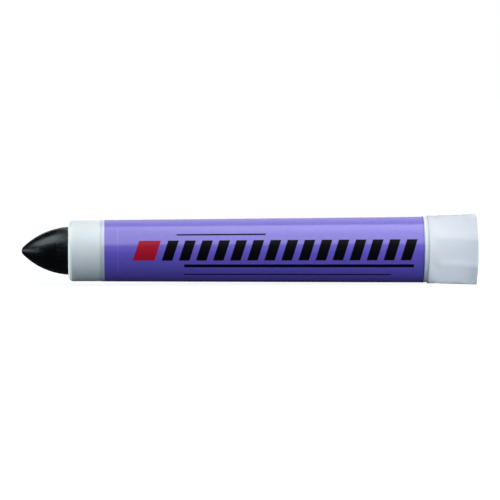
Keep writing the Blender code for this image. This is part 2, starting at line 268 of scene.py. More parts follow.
# %% Outline the barrel
COLLAR_RADIUS = 8.325 * MM
COLLAR_BORE = 6.7 * MM
GUIDE_BORE = 7.2 * MM
BUSH_SEAT = 7.5 * MM
LIP_ROUND = 1.3 * MM
MOUTH_ROUND = 0.25 * MM
REAR_ROUND = 0.15 * MM
PANEL_DEPTH = 0.06 * MM
COLLAR_STEP_SLOPE = 0.06 * MM
BAND_STEP_SLOPE = 0.03 * MM
RIB_INSET = 0.3 * MM
mouth_centre = (collar_front + MOUTH_ROUND, COLLAR_BORE + MOUTH_ROUND)
lip_centre = (collar_front + LIP_ROUND, COLLAR_RADIUS - LIP_ROUND)
rear_centre = (band_rear - REAR_ROUND, band_radius - REAR_ROUND)
barrel_outline = arc(mouth_centre, MOUTH_ROUND, -math.pi / 2, -math.pi, steps=4)
barrel_outline += arc(lip_centre, LIP_ROUND, math.pi, math.pi / 2, steps=10)
barrel_outline += [
    (panel_front - COLLAR_STEP_SLOPE, COLLAR_RADIUS),
    (panel_front, COLLAR_RADIUS - PANEL_DEPTH),
    (panel_rear, band_radius - PANEL_DEPTH),
    (panel_rear + BAND_STEP_SLOPE, band_radius),
]
barrel_outline += arc(rear_centre, REAR_ROUND, math.pi / 2, 0.0, steps=6)
barrel_outline += [
    (band_rear, BUSH_SEAT),
    (bush_shoulder, BUSH_SEAT),
    (bush_shoulder, GUIDE_BORE),
    (bush_shoulder - RIB_INSET, GUIDE_BORE),
    (collar_shoulder + RIB_INSET, GUIDE_BORE),
    (collar_shoulder, GUIDE_BORE),
    (collar_shoulder, COLLAR_BORE),
]
print("rings in the barrel's outline:", len(barrel_outline))

# %% Grow the barrel
barrel = grow("moulded_barrel", barrel_outline)
select_open_edges()
bpy.ops.mesh.bridge_edge_loops()
print("barrel grown and its mouth bridged")

# %% Pull the guide ribs from the bore
RIB_WIDTH = 1.6 * MM
RIB_END_MARGIN = 1 * MM
BORE_TOLERANCE = 0.02 * MM


def select_faces(made, chosen):
    bpy.ops.object.mode_set(mode="OBJECT")
    bpy.ops.object.transform_apply(location=True, rotation=True, scale=True)
    for face in made.data.polygons:
        face.select = chosen(face)
    count = sum(face.select for face in made.data.polygons)
    bpy.ops.object.mode_set(mode="EDIT")
    bpy.ops.mesh.select_mode(type="FACE")
    return count


def under_a_rib(face):
    middle = face.center
    across = min(abs(middle.y), abs(middle.z - axis_z))
    radius = math.hypot(middle.y, middle.z - axis_z)
    long_face = collar_shoulder + RIB_END_MARGIN < middle.x < bush_shoulder - RIB_END_MARGIN
    on_bore = abs(radius - GUIDE_BORE) < BORE_TOLERANCE
    return long_face and on_bore and across < RIB_WIDTH / 2


bpy.ops.mesh.select_all(action="DESELECT")
rib_faces = select_faces(barrel, under_a_rib)
bpy.ops.mesh.extrude_region_move()
rib_pull = COLLAR_BORE / GUIDE_BORE
bpy.ops.transform.resize(value=(1.0, rib_pull, rib_pull), center_override=on_axis(0.0))
print(f"ribs from {rib_faces} faces of the bore")
finish_mesh(barrel, sharp_degrees=35)
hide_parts("barrel")
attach(barrel, "barrel")

# %% [markdown]
# ## The label
# The label is a strip of printed film that goes once round the barrel and laps over its own start at the
# back. A closed tube would lack that lap, so one edge of the first ring is deleted before the rings grow.
# The film's free edge is then extruded on round the axis and lifted by its own thickness. Its front edge
# comes down on the collar in a short slope, because an edge that stands up would draw a dark line.
# Solidify gives the strip its thickness.

# %% Cut the film's first ring open
FILM_THICKNESS = 0.08 * MM
FILM_GAP = 0.055 * MM
FILM_OVERHANG = 0.03 * MM
EDGE_DROP = 0.03 * MM
FILM_SIDES = 192
LAP_AT = math.radians(200)
film_front = panel_front - FILM_OVERHANG
film_front_radius = COLLAR_RADIUS - PANEL_DEPTH + FILM_GAP + FILM_THICKNESS


def round_angle(point):
    """The angle round the axis: 0 faces the camera, a quarter turn is up."""
    return math.atan2(point[2] - axis_z, -point[1]) % (2 * math.pi)


film = start_ring("wrapped_label", film_front, film_front_radius - EDGE_DROP, FILM_SIDES)
bpy.ops.object.mode_set(mode="OBJECT")
bpy.ops.object.transform_apply(location=True, rotation=True, scale=True)
film_step = 2 * math.pi / FILM_SIDES
for edge in film.data.edges:
    ends = [film.data.vertices[i].co for i in edge.vertices]
    middle = (ends[0] + ends[1]) / 2
    edge.select = abs(round_angle(middle) - LAP_AT) < film_step / 2
for vertex in film.data.vertices:
    vertex.select = False
bpy.ops.object.mode_set(mode="EDIT")
bpy.ops.mesh.select_mode(type="EDGE")
print("edges cut:", sum(edge.select for edge in film.data.edges))
bpy.ops.mesh.delete(type="EDGE")

# %% Grow the film
EDGE_SLOPE = 0.12 * MM
FILM_SHORT = 0.28 * MM
FILM_STEPS = 24
film_rear = label_high.x - FILM_SHORT
bpy.ops.mesh.select_mode(type="VERT")
bpy.ops.mesh.select_all(action="SELECT")
film_rings = [
    (film_front, film_front_radius - EDGE_DROP),
    (film_front + EDGE_SLOPE, film_front_radius),
]
face_front = film_front + 2 * EDGE_SLOPE
for step in range(FILM_STEPS + 1):
    share = step / FILM_STEPS
    film_rings.append((
        face_front + (film_rear - face_front) * share,
        film_front_radius + (film_rear_radius - film_front_radius) * share,
    ))
for last, new in zip(film_rings, film_rings[1:]):
    next_ring(last, new)
print(f"film from {film_front / MM:.2f} to {film_rear / MM:.2f} mm in {len(film_rings)} rings")

# %% Lap the film's free edge
LAP_TURN = math.radians(9)
LAP_RISE = 0.25
LAP_CLEARANCE = 0.01 * MM
lap_lift = 1.0 + (FILM_THICKNESS + LAP_CLEARANCE) / film_rear_radius
bpy.ops.object.mode_set(mode="OBJECT")
angles = {round(round_angle(vertex.co), 4) for vertex in film.data.vertices}
angles_from_lap = sorted(angles, key=lambda angle: abs(angle - LAP_AT))
free_angle = max(angles_from_lap[:2])
for vertex in film.data.vertices:
    vertex.select = abs(round_angle(vertex.co) - free_angle) < film_step / 4
print("free edge vertices:", sum(vertex.select for vertex in film.data.vertices))
bpy.ops.object.mode_set(mode="EDIT")
for turn, lift in ((LAP_TURN * LAP_RISE, lap_lift), (LAP_TURN * (1 - LAP_RISE), 1.0)):
    bpy.ops.mesh.extrude_region_move()
    bpy.ops.transform.rotate(value=turn, orient_axis="X", center_override=on_axis(0.0))
    bpy.ops.transform.resize(value=(1.0, lift, lift), center_override=on_axis(0.0))

# %% Thicken the film
FILM_SHARP = math.radians(35)
bpy.ops.mesh.select_all(action="SELECT")
bpy.ops.mesh.normals_make_consistent(inside=False)
bpy.ops.object.mode_set(mode="OBJECT")
thicken = film.modifiers.new("film_thickness", "SOLIDIFY")
thicken.thickness = FILM_THICKNESS
thicken.offset = -1.0
bpy.ops.object.modifier_apply(modifier=thicken.name)
bpy.ops.object.shade_smooth_by_angle(angle=FILM_SHARP)
print(f"{film.name}: {len(film.data.polygons)} faces")
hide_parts("label")
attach(film, "barrel")

# %% [markdown]
# ## The knob
# The knob is milky plastic, with eight flats that flare towards the rear and a round rim in front, so it
# turns flush behind the barrel. A filled octagon gets round corners from a vertex bevel, and its outline
# is extruded forward. On the way, To Sphere turns the octagon into a circle a share at a time, which
# makes the soft run-out of the flats. A real knob is a cup with a hub and spokes, and the CAD node keeps
# them. This one is solid round the socket for the screw's tail: nobody sees into it, and light that
# crosses it once makes it glow evenly, as thick milky plastic does.

# %% Start the knob from its rear face
KNOB_FLATS = 8
KNOB_CORNER_RADIUS = 2.2 * MM
KNOB_CORNER_SEGMENTS = 8
KNOB_REAR_ROUND = 0.15 * MM
half_side = math.pi / KNOB_FLATS
bpy.ops.object.select_all(action="DESELECT")
bpy.ops.mesh.primitive_circle_add(
    vertices=KNOB_FLATS,
    radius=(knob_reach - KNOB_REAR_ROUND) / math.cos(half_side),
    fill_type="NGON",
    location=on_axis(knob_high.x),
    rotation=(0.0, math.pi / 2, 0.0),
)
knob = bpy.context.object
knob.name = "milky_knob"
bpy.ops.object.mode_set(mode="EDIT")
bpy.ops.transform.rotate(value=half_side, orient_axis="X", center_override=on_axis(knob_high.x))
bpy.ops.mesh.bevel(
    affect="VERTICES",
    offset=KNOB_CORNER_RADIUS * math.tan(half_side),
    offset_type="OFFSET",
    segments=KNOB_CORNER_SEGMENTS,
)
bpy.ops.mesh.select_all(action="SELECT")
bpy.ops.mesh.delete(type="ONLY_FACE")
print(f"knob started as an octagon {2 * knob_reach / MM:.2f} mm across its flats")

# %% Divide the flats
SHORTEST_FLAT = 2 * MM
FLAT_CUTS = 15
bpy.ops.object.mode_set(mode="OBJECT")
for vertex in knob.data.vertices:
    vertex.select = False
for edge in knob.data.edges:
    ends = [knob.data.vertices[i].co for i in edge.vertices]
    edge.select = (ends[0] - ends[1]).length > SHORTEST_FLAT
print("flats divided:", sum(edge.select for edge in knob.data.edges))
bpy.ops.object.mode_set(mode="EDIT")
bpy.ops.mesh.select_mode(type="EDGE")
bpy.ops.mesh.subdivide(number_cuts=FLAT_CUTS)
bpy.ops.mesh.select_mode(type="VERT")
bpy.ops.mesh.select_all(action="SELECT")

# %% Extrude the knob forward
KNOB_FRONT_FLAT = 9.02 * MM
KNOB_RIM_LENGTH = 1.1 * MM
KNOB_BLEND_LENGTH = 2.6 * MM
RIM_FORWARD = 0.22 * MM
FLAT_RING_SHARES = (0.25, 0.5, 0.75, 1.0)
rim_front = knob_low.x - RIM_FORWARD
knob_length = knob_high.x - knob_low.x
knob_rear_centre = (knob_high.x - KNOB_REAR_ROUND, knob_reach - KNOB_REAR_ROUND)
rear_arc = arc(knob_rear_centre, KNOB_REAR_ROUND, 0.0, math.pi / 2, steps=5)
ring_at = rear_arc[0]
for place in rear_arc[1:]:
    next_ring(ring_at, place)
    ring_at = place
flat_front_x = rim_front + KNOB_RIM_LENGTH + KNOB_BLEND_LENGTH
flare = (knob_reach - KNOB_FRONT_FLAT) / knob_length
for share in FLAT_RING_SHARES:
    # Each ring goes this share of the way that is left to the front of the flats
    x = ring_at[0] + (flat_front_x - ring_at[0]) * share
    place = (x, knob_reach - flare * (knob_high.x - x))
    next_ring(ring_at, place)
    ring_at = place
print(f"flats {(knob_high.x - flat_front_x) / MM:.2f} mm long")

# %% Turn the octagon into the round rim
KNOB_RIM_RADIUS = 9.25 * MM
BLEND_RINGS = 10
bpy.ops.object.mode_set(mode="OBJECT")


def ring_mean(made):
    ring = [v.co for v in made.data.vertices if v.select]
    return sum(math.hypot(p.y, p.z - axis_z) for p in ring) / len(ring)


bpy.ops.object.transform_apply(location=True, rotation=True, scale=True)
mean_radius = ring_mean(knob)
bpy.ops.object.mode_set(mode="EDIT")
done = 0.0
size = mean_radius
for step in range(1, BLEND_RINGS + 1):
    part = step / BLEND_RINGS
    share = part * part * (3 - 2 * part)
    x = flat_front_x - KNOB_BLEND_LENGTH * part
    wanted = mean_radius + (KNOB_RIM_RADIUS - mean_radius) * share
    next_ring((ring_at[0], size), (x, wanted))
    bpy.ops.transform.tosphere(value=(share - done) / (1 - done))
    ring_at, size, done = (x, wanted), wanted, share
print(f"octagon of mean radius {mean_radius / MM:.3f} mm runs out into a rim of {size / MM:.3f} mm")

# %% Round the rim and close the front
KNOB_FRONT_ROUND = 0.12 * MM
LAND_RADIUS = 8.90 * MM
LAND_INNER_RADIUS = 7.62 * MM
LAND_SLOPE = 0.05 * MM
TAIL_SOCKET_RADIUS = 2.95 * MM
TAIL_SOCKET_WALL = 2.8 * MM
socket_floor = knob_high.x - TAIL_SOCKET_WALL
rim_centre = (rim_front + KNOB_FRONT_ROUND, KNOB_RIM_RADIUS - KNOB_FRONT_ROUND)
front_outline = [(rim_front + KNOB_RIM_LENGTH / 2, KNOB_RIM_RADIUS)]
front_outline += arc(rim_centre, KNOB_FRONT_ROUND, math.pi / 2, math.pi, steps=6)
front_outline += [
    (rim_front, LAND_RADIUS),
    (band_rear, LAND_RADIUS - LAND_SLOPE),
    (band_rear, LAND_INNER_RADIUS),
    (knob_low.x, LAND_INNER_RADIUS - LAND_SLOPE),
    (knob_low.x, TAIL_SOCKET_RADIUS),
    (socket_floor, TAIL_SOCKET_RADIUS),
]
for place in front_outline:
    next_ring(ring_at, place)
    ring_at = place
select_open_edges()
bpy.ops.mesh.fill_holes(sides=0)
finish_mesh(knob, sharp_degrees=35)
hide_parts("twist_knob")
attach(knob, "knob")

# %% [markdown]
# ## Building finishes from nodes
# Each finish below is a small tree of nodes on one Principled shader. A few helpers keep the trees
# readable: one adds a Math node, one adds a noise at a size given in millimetres, one spreads a value
# over a range and one mixes two colours. All of them read Object coordinates, so a pattern stays on its
# piece when the piece moves.

# %% Node helpers
# A Mix node has sockets of the same name for each kind of value, so the colours are found by number
MIX_FIRST = 6
MIX_SECOND = 7
MIX_RESULT = 2


def new_finish(name):
    finish = bpy.data.materials.new(name)
    finish.use_nodes = True
    tree = finish.node_tree
    place = tree.nodes.new("ShaderNodeTexCoord").outputs["Object"]
    return finish, tree, tree.nodes["Principled BSDF"], place


def feed(tree, socket, value):
    if isinstance(value, bpy.types.NodeSocket):
        tree.links.new(value, socket)
    else:
        socket.default_value = value


def calculate(tree, operation, *values, clamp=False):
    made = tree.nodes.new("ShaderNodeMath")
    made.operation = operation
    made.use_clamp = clamp
    for socket, value in zip(made.inputs, values):
        feed(tree, socket, value)
    return made.outputs["Value"]


def noise(tree, place, size, stretch=(1.0, 1.0, 1.0), detail=3.0, roughness=0.55):
    mapping = tree.nodes.new("ShaderNodeMapping")
    mapping.inputs["Scale"].default_value = stretch
    tree.links.new(place, mapping.inputs["Vector"])
    made = tree.nodes.new("ShaderNodeTexNoise")
    made.inputs["Scale"].default_value = 1.0 / size
    made.inputs["Detail"].default_value = detail
    made.inputs["Roughness"].default_value = roughness
    tree.links.new(mapping.outputs["Vector"], made.inputs["Vector"])
    return made.outputs["Fac"]


def spread(tree, value, low, high, to_low=0.0, to_high=1.0, smooth=False):
    made = tree.nodes.new("ShaderNodeMapRange")
    made.interpolation_type = "SMOOTHSTEP" if smooth else "LINEAR"
    feed(tree, made.inputs["Value"], value)
    made.inputs["From Min"].default_value = low
    made.inputs["From Max"].default_value = high
    made.inputs["To Min"].default_value = to_low
    made.inputs["To Max"].default_value = to_high
    return made.outputs["Result"]


def mix_colour(tree, share, first, second):
    made = tree.nodes.new("ShaderNodeMix")
    made.data_type = "RGBA"
    feed(tree, made.inputs["Factor"], share)
    feed(tree, made.inputs[MIX_FIRST], first)
    feed(tree, made.inputs[MIX_SECOND], second)
    return made.outputs[MIX_RESULT]


def bump(tree, height, distance, strength=1.0, under=None):
    made = tree.nodes.new("ShaderNodeBump")
    made.inputs["Distance"].default_value = distance
    made.inputs["Strength"].default_value = strength
    tree.links.new(height, made.inputs["Height"])
    if under is not None:
        tree.links.new(under, made.inputs["Normal"])
    return made.outputs["Normal"]


def split(tree, place):
    made = tree.nodes.new("ShaderNodeSeparateXYZ")
    tree.links.new(place, made.inputs["Vector"])
    return made.outputs["X"], made.outputs["Y"], made.outputs["Z"]


def wear(finish, *pieces):
    for made in pieces:
        made.data.materials.clear()
        made.data.materials.append(finish)


# %% [markdown]
# ## White moulded plastic
# The barrel is polypropylene or a plastic like it: white with a cool cast, glossy but not polished, and
# light enters it a little before it comes back. Subsurface scattering gives that softness. Fine noise in
# the roughness and a bump of a few microns keep the gloss from looking like paint.

# %% Finish the barrel
WHITE_PLASTIC = (0.74, 0.80, 0.82, 1.0)
WHITE_PLASTIC_SHADE = (0.715, 0.78, 0.80, 1.0)
white, tree, shader, place = new_finish("moulded_white")
cloud = noise(tree, place, 6 * MM, detail=4.0)
grain = noise(tree, place, 0.25 * MM, detail=2.0)
flow = noise(tree, place, 2 * MM, stretch=(0.12, 1.0, 1.0), detail=4.0)
tone = mix_colour(tree, spread(tree, cloud, 0.35, 0.65), WHITE_PLASTIC, WHITE_PLASTIC_SHADE)
tree.links.new(tone, shader.inputs["Base Color"])
tree.links.new(spread(tree, flow, 0.3, 0.7, 0.26, 0.40), shader.inputs["Roughness"])
soft = bump(tree, flow, 0.012 * MM, 0.5)
tree.links.new(bump(tree, grain, 0.004 * MM, 0.6, soft), shader.inputs["Normal"])
shader.inputs["IOR"].default_value = 1.49
shader.inputs["Subsurface Weight"].default_value = 0.5
shader.inputs["Subsurface Radius"].default_value = (1.0, 0.95, 0.9)
shader.inputs["Subsurface Scale"].default_value = 1.5 * MM
wear(white, barrel)
print("barrel wears", white.name)

# %% [markdown]
# ## Printed film
# The label is printed in a deep violet under a gloss face, with black and red on top. Its print is a
# plain pattern of our own: one red bar and a row of slanted black bars, with thin rules above and below.
# A print follows the strip, so each point is given two measures: how far along the barrel it is, and how
# far round, in millimetres from the line that faces the camera. An image could hold the print, but drawn
# by nodes it stays sharp at any distance. Black and red are matt inks on top of the gloss, so the coat is
# thin there. A border at the front edge is left unprinted.

# %% Measure along and round the film
FILM_MEAN_RADIUS = 8.7
RAGGED_EDGE = 0.03


def from_the_tip(tree, x):
    return calculate(tree, "MULTIPLY", calculate(tree, "SUBTRACT", x, tip_x), 1 / MM)


film_finish, tree, shader, place = new_finish("printed_film")
along, across, up = split(tree, place)
along = from_the_tip(tree, along)
height = calculate(tree, "SUBTRACT", up, axis_z)
toward = calculate(tree, "MULTIPLY", across, -1.0)
around = calculate(tree, "MULTIPLY", calculate(tree, "ARCTAN2", height, toward), FILM_MEAN_RADIUS)
ragged = noise(tree, place, 0.15 * MM, detail=2.0)
ragged = spread(tree, ragged, 0.0, 1.0, -RAGGED_EDGE, RAGGED_EDGE)
print_along = calculate(tree, "ADD", along, ragged)
print_around = calculate(tree, "ADD", around, ragged)
print("film measured along and round, with print edges ragged by", RAGGED_EDGE, "mm")

# %% Helpers for print
EDGE = 0.05


def inside(tree, value, low, high, edge=EDGE):
    rise = spread(tree, value, low - edge, low + edge)
    fall = spread(tree, value, high - edge, high + edge, 1.0, 0.0)
    return calculate(tree, "MULTIPLY", rise, fall)


def both(tree, *shares):
    made = shares[0]
    for share in shares[1:]:
        made = calculate(tree, "MULTIPLY", made, share)
    return made


def either(tree, *shares):
    made = shares[0]
    for share in shares[1:]:
        made = calculate(tree, "MAXIMUM", made, share)
    return made


def rule(middle, thickness, start, end):
    band = inside(tree, print_around, middle - thickness / 2, middle + thickness / 2)
    return both(tree, band, inside(tree, print_along, start, end))


# %% Draw bars and rules
BAR_COUNT = 15
BAR_MIDDLE = 0.5
BAR_HEIGHT = 5.6
BAR_LEAN = 0.32
BAR_PITCH = 4.6
BAR_WIDTH = 2.9
BARS_START = 38.8
ROW_MARGIN = 0.2
RED_START = 31.0
RED_WIDTH = 5.9
DASH_PITCH = 1.6
DASH_FROM = 0.1
DASH_TO = 1.2
bars_end = BARS_START + BAR_COUNT * BAR_PITCH - (BAR_PITCH - BAR_WIDTH)
off_middle = calculate(tree, "SUBTRACT", print_around, BAR_MIDDLE)
leaning = calculate(tree, "SUBTRACT", print_along, calculate(tree, "MULTIPLY", off_middle, BAR_LEAN))
row = inside(tree, print_around, BAR_MIDDLE - BAR_HEIGHT / 2, BAR_MIDDLE + BAR_HEIGHT / 2)
row_length = inside(tree, leaning, BARS_START - ROW_MARGIN, bars_end + ROW_MARGIN)
row_place = calculate(tree, "SUBTRACT", leaning, BARS_START - BAR_PITCH)
phase = calculate(tree, "MODULO", row_place, BAR_PITCH)
bars = both(tree, inside(tree, phase, EDGE, BAR_WIDTH), row_length, row)
red_bar = both(tree, inside(tree, leaning, RED_START, RED_START + RED_WIDTH), row)
dash_phase = calculate(tree, "MODULO", print_along, DASH_PITCH)
dash_rule = rule(middle=-10.9, thickness=0.8, start=44.0, end=100.0)
black_print = either(
    tree,
    bars,
    rule(middle=5.0, thickness=0.45, start=42.0, end=66.0),
    rule(middle=-3.9, thickness=0.9, start=44.0, end=106.0),
    rule(middle=-6.9, thickness=0.45, start=44.0, end=100.0),
    both(tree, dash_rule, inside(tree, dash_phase, DASH_FROM, DASH_TO)),
)
print(f"film print: {BAR_COUNT} black bars, 1 red bar, 3 rules and 1 dashed rule")

# %% Colour the film
VIOLET = (0.125, 0.092, 0.58, 1.0)
VIOLET_DEEP = (0.115, 0.084, 0.545, 1.0)
BLACK_INK = (0.002, 0.002, 0.004, 1.0)
RED_INK = (0.39, 0.006, 0.024, 1.0)
BARE_FILM = (0.57, 0.61, 0.75, 1.0)
PALE_LINE = (0.4, 0.38, 0.75, 1.0)
PALE_LINE_AT = 26.0
PALE_LINE_WIDTH = 0.25
PALE_LINE_LOW = -7.2
PALE_LINE_HIGH = 7.0
PALE_LINE_SHARE = 0.14
BORDER_END = 22.5
mottle = noise(tree, place, 1.2 * MM, detail=5.0)
violet = mix_colour(tree, spread(tree, mottle, 0.35, 0.7), VIOLET, VIOLET_DEEP)
pale_line = both(
    tree,
    inside(tree, along, PALE_LINE_AT, PALE_LINE_AT + PALE_LINE_WIDTH, edge=0.06),
    inside(tree, around, PALE_LINE_LOW, PALE_LINE_HIGH, edge=0.3),
)
pale_share = calculate(tree, "MULTIPLY", pale_line, PALE_LINE_SHARE)
violet = mix_colour(tree, pale_share, violet, PALE_LINE)
colour = mix_colour(tree, black_print, violet, BLACK_INK)
colour = mix_colour(tree, red_bar, colour, RED_INK)
border = spread(tree, print_along, BORDER_END - EDGE, BORDER_END + EDGE, 1.0, 0.0)
colour = mix_colour(tree, border, colour, BARE_FILM)
tree.links.new(colour, shader.inputs["Base Color"])
print("film printed in violet, black and red, and bare up to", BORDER_END, "mm from the tip")

# %% Give the film its gloss
RED_MATT = 0.92
INK_COAT = 0.04
ripple = noise(tree, place, 5 * MM, stretch=(0.25, 1.0, 1.0), detail=2.0)
peel = noise(tree, place, 0.4 * MM, detail=2.0)
tree.links.new(spread(tree, mottle, 0.3, 0.7, 0.45, 0.6), shader.inputs["Roughness"])
soft = bump(tree, ripple, 0.03 * MM, 0.5)
soft = bump(tree, peel, 0.003 * MM, 0.5, soft)
tree.links.new(soft, shader.inputs["Coat Normal"])
tree.links.new(bump(tree, black_print, 0.01 * MM, 0.6, soft), shader.inputs["Normal"])
matt_ink = either(tree, black_print, calculate(tree, "MULTIPLY", red_bar, RED_MATT))
tree.links.new(spread(tree, matt_ink, 0.0, 1.0, 1.0, INK_COAT), shader.inputs["Coat Weight"])
shader.inputs["Coat Roughness"].default_value = 0.2
shader.inputs["Coat IOR"].default_value = 1.64
shader.inputs["Specular IOR Level"].default_value = 0.02
wear(film_finish, film)
print("label wears", film_finish.name)

# %% [markdown]
# ## Solid paint
# The stick is waxy and nearly black, with a satin face and bluish lights. Handling has left fine
# scratches round it and along it, a duller zone behind the mould ring, a nose that is rubbed soft and one
# small curl of a scuff behind it. Noise that is stretched along the axis makes the drag marks, and the
# distance from one point makes the curl.

# %% Mark the stick
CURL_AT = (4.3, -3.96, 0.32)
CURL_RADIUS = 0.55
CURL_HALF_WIDTH = 0.09
CURL_FROM = -0.3
CURL_FULL = 0.1
DULL_EDGE = 0.2
paint, tree, shader, place = new_finish("cast_paint")
along, across, up = split(tree, place)
along = from_the_tip(tree, along)
speckle = noise(tree, place, 0.5 * MM, detail=5.0)
drag = noise(tree, place, 0.5 * MM, stretch=(0.1, 1.0, 1.0), detail=5.0, roughness=0.65)
turned = noise(tree, place, 0.4 * MM, stretch=(1.0, 0.12, 0.12), detail=4.0)
dull = both(
    tree,
    spread(tree, along, MOULD_RING / MM - DULL_EDGE, MOULD_RING / MM + DULL_EDGE),
    spread(tree, drag, 0.4, 0.65),
)
offset = tree.nodes.new("ShaderNodeVectorMath")
offset.operation = "DISTANCE"
tree.links.new(place, offset.inputs[0])
offset.inputs[1].default_value = (tip_x + CURL_AT[0] * MM, CURL_AT[1] * MM, axis_z + CURL_AT[2] * MM)
curl_distance = calculate(tree, "MULTIPLY", offset.outputs["Value"], 1 / MM)
curl = both(
    tree,
    inside(tree, curl_distance, CURL_RADIUS - CURL_HALF_WIDTH, CURL_RADIUS + CURL_HALF_WIDTH, edge=0.08),
    spread(tree, along, CURL_AT[0] + CURL_FROM, CURL_AT[0] + CURL_FULL),
)
print("stick marked: drag marks, turning marks, a dull zone and a curl")

# %% Finish the stick
PAINT_BLACK = (0.0008, 0.0018, 0.0018, 1.0)
PAINT_GREY = (0.005, 0.0075, 0.0085, 1.0)
DULL_GREY = 0.6
DULL_ROUGH = 0.16
grey = either(tree, calculate(tree, "MULTIPLY", dull, DULL_GREY), curl, spread(tree, speckle, 0.62, 0.8))
tree.links.new(mix_colour(tree, grey, PAINT_BLACK, PAINT_GREY), shader.inputs["Base Color"])
satin = spread(tree, speckle, 0.3, 0.7, 0.21, 0.31)
rubbed = spread(tree, along, 2.0, 9.0, 0.05, 0.0, smooth=True)
satin = calculate(tree, "ADD", satin, rubbed)
satin = calculate(tree, "ADD", satin, calculate(tree, "MULTIPLY", dull, DULL_ROUGH))
tree.links.new(satin, shader.inputs["Roughness"])
soft = bump(tree, drag, 0.015 * MM, 0.6)
soft = bump(tree, turned, 0.012 * MM, 0.5, soft)
soft = bump(tree, speckle, 0.01 * MM, 0.5, soft)
tree.links.new(bump(tree, curl, 0.05 * MM, 0.8, soft), shader.inputs["Normal"])
shader.inputs["IOR"].default_value = 1.45
shader.inputs["Specular IOR Level"].default_value = 0.3
shader.inputs["Specular Tint"].default_value = (0.74, 0.90, 1.0, 1.0)
wear(paint, stick)
print("stick wears", paint.name)

# %% [markdown]
# ## Milky plastic
# The knob is moulded in unpigmented plastic, which is milky and bluish: some light goes right through it,
# so its lower flats stay bright. Subsurface scattering alone is too chalky, and clear plastic too dark at
# its edges. So a share of transmission is mixed in, with a rough face and a low index of refraction that
# bends light very little. The faces that sit against the barrel and round the screw stay opaque, or light
# would be lost in the gaps behind them. Its colour is painted paler at the front and darker towards the
# rear: painted light that makes up for the shade at the front, next to the barrel. Its fine grain breaks
# up the gloss.

# %% Finish the knob
# Painted light: the front colour is paler than the rear, to make up for the shade next to the barrel
MILKY_FRONT_PAINTED_LIGHTER = (0.835, 0.865, 0.91, 1.0)
MILKY_REAR_PAINTED_DARKER = (0.72, 0.755, 0.815, 1.0)
MILKY_CLEAR = 0.38
SEAT_FADE = (0.02 * MM, 0.1 * MM)
SOCKET_FADE = (0.05 * MM, 0.1 * MM)
milky, tree, shader, place = new_finish("milky_plastic")
along, across, up = split(tree, place)
cloud = noise(tree, place, 4 * MM, detail=3.0)
grain = noise(tree, place, 0.18 * MM, detail=2.0)
# Painted light: the colour runs from paler at the front, where the barrel shades it, to darker at the rear;
# random cloud varies the tone on top
painted_falloff_and_tone = spread(tree, along, knob_low.x, knob_high.x, -0.05, 0.95)
painted_falloff_and_tone = calculate(tree, "ADD", painted_falloff_and_tone, spread(tree, cloud, 0.35, 0.65, 0.0, 0.15))
tree.links.new(mix_colour(tree, painted_falloff_and_tone, MILKY_FRONT_PAINTED_LIGHTER, MILKY_REAR_PAINTED_DARKER), shader.inputs["Base Color"])
tree.links.new(spread(tree, cloud, 0.3, 0.7, 0.65, 0.75), shader.inputs["Roughness"])
soft = bump(tree, cloud, 0.02 * MM, 0.4)
tree.links.new(bump(tree, grain, 0.006 * MM, 0.6, soft), shader.inputs["Normal"])
up = calculate(tree, "SUBTRACT", up, axis_z)
squares = [calculate(tree, "MULTIPLY", side, side) for side in (across, up)]
radius = calculate(tree, "SQRT", calculate(tree, "ADD", *squares))
off_seat = spread(tree, along, *(rim_front + fade for fade in SEAT_FADE))
off_socket = spread(tree, radius, *(TAIL_SOCKET_RADIUS + fade for fade in SOCKET_FADE))
outer = calculate(tree, "MULTIPLY", off_seat, off_socket)
tree.links.new(outer, shader.inputs["Subsurface Weight"])
tree.links.new(calculate(tree, "MULTIPLY", outer, MILKY_CLEAR), shader.inputs["Transmission Weight"])
shader.inputs["IOR"].default_value = 1.2
shader.inputs["Subsurface Radius"].default_value = (0.9, 0.95, 1.0)
shader.inputs["Subsurface Scale"].default_value = 0.6 * MM
wear(milky, knob)
print("knob wears", milky.name)

# %% [markdown]
# ## Pieces inside
# The carrier, the screw, the bush and the seal never show, because the stick always fills the collar.
# Their CAD meshes stay, and they still get finishes: natural plastic in slightly different tones, and
# black rubber.

# %% Finish the inner pieces
def natural_plastic(name, light, dark, roughness):
    finish, tree, shader, place = new_finish(name)
    cloud = noise(tree, place, 3 * MM, detail=4.0)
    grain = noise(tree, place, 0.2 * MM, detail=2.0)
    tone = mix_colour(tree, spread(tree, cloud, 0.35, 0.65), light, dark)
    tree.links.new(tone, shader.inputs["Base Color"])
    tree.links.new(spread(tree, cloud, 0.3, 0.7, roughness, roughness + 0.12), shader.inputs["Roughness"])
    tree.links.new(bump(tree, grain, 0.005 * MM, 0.6), shader.inputs["Normal"])
    return finish


inner_finishes = {
    "stick_carrier": natural_plastic("carrier_natural", (0.72, 0.74, 0.74, 1), (0.66, 0.68, 0.68, 1), 0.42),
    "feed_screw": natural_plastic("screw_natural", (0.64, 0.66, 0.66, 1), (0.58, 0.60, 0.60, 1), 0.38),
    "bearing_bush": natural_plastic("bush_natural", (0.74, 0.76, 0.77, 1), (0.68, 0.70, 0.71, 1), 0.42),
    "seal_ring": natural_plastic("seal_black", (0.022, 0.022, 0.022, 1), (0.015, 0.015, 0.016, 1), 0.6),
}
for node_name, finish in inner_finishes.items():
    frame["nodes"][node_name].material_slots[0].material = finish
    print(node_name, "wears", finish.name)

# %% [markdown]
# ## Floor and background
# The photograph has a pure white ground. A white floor would throw light up at the marker, whose
# underside is dark in the photograph. So the floor and the world show white to the camera by Light Path's
# Is Camera Ray, and to rays that pass through the knob, while they light the marker only dimly, with a
# cool cast. Mirrored rays see a small share of the white, because the label's lower half mirrors none.
# The floor is also an ordinary matt surface underneath, so the marker keeps a faint shadow.

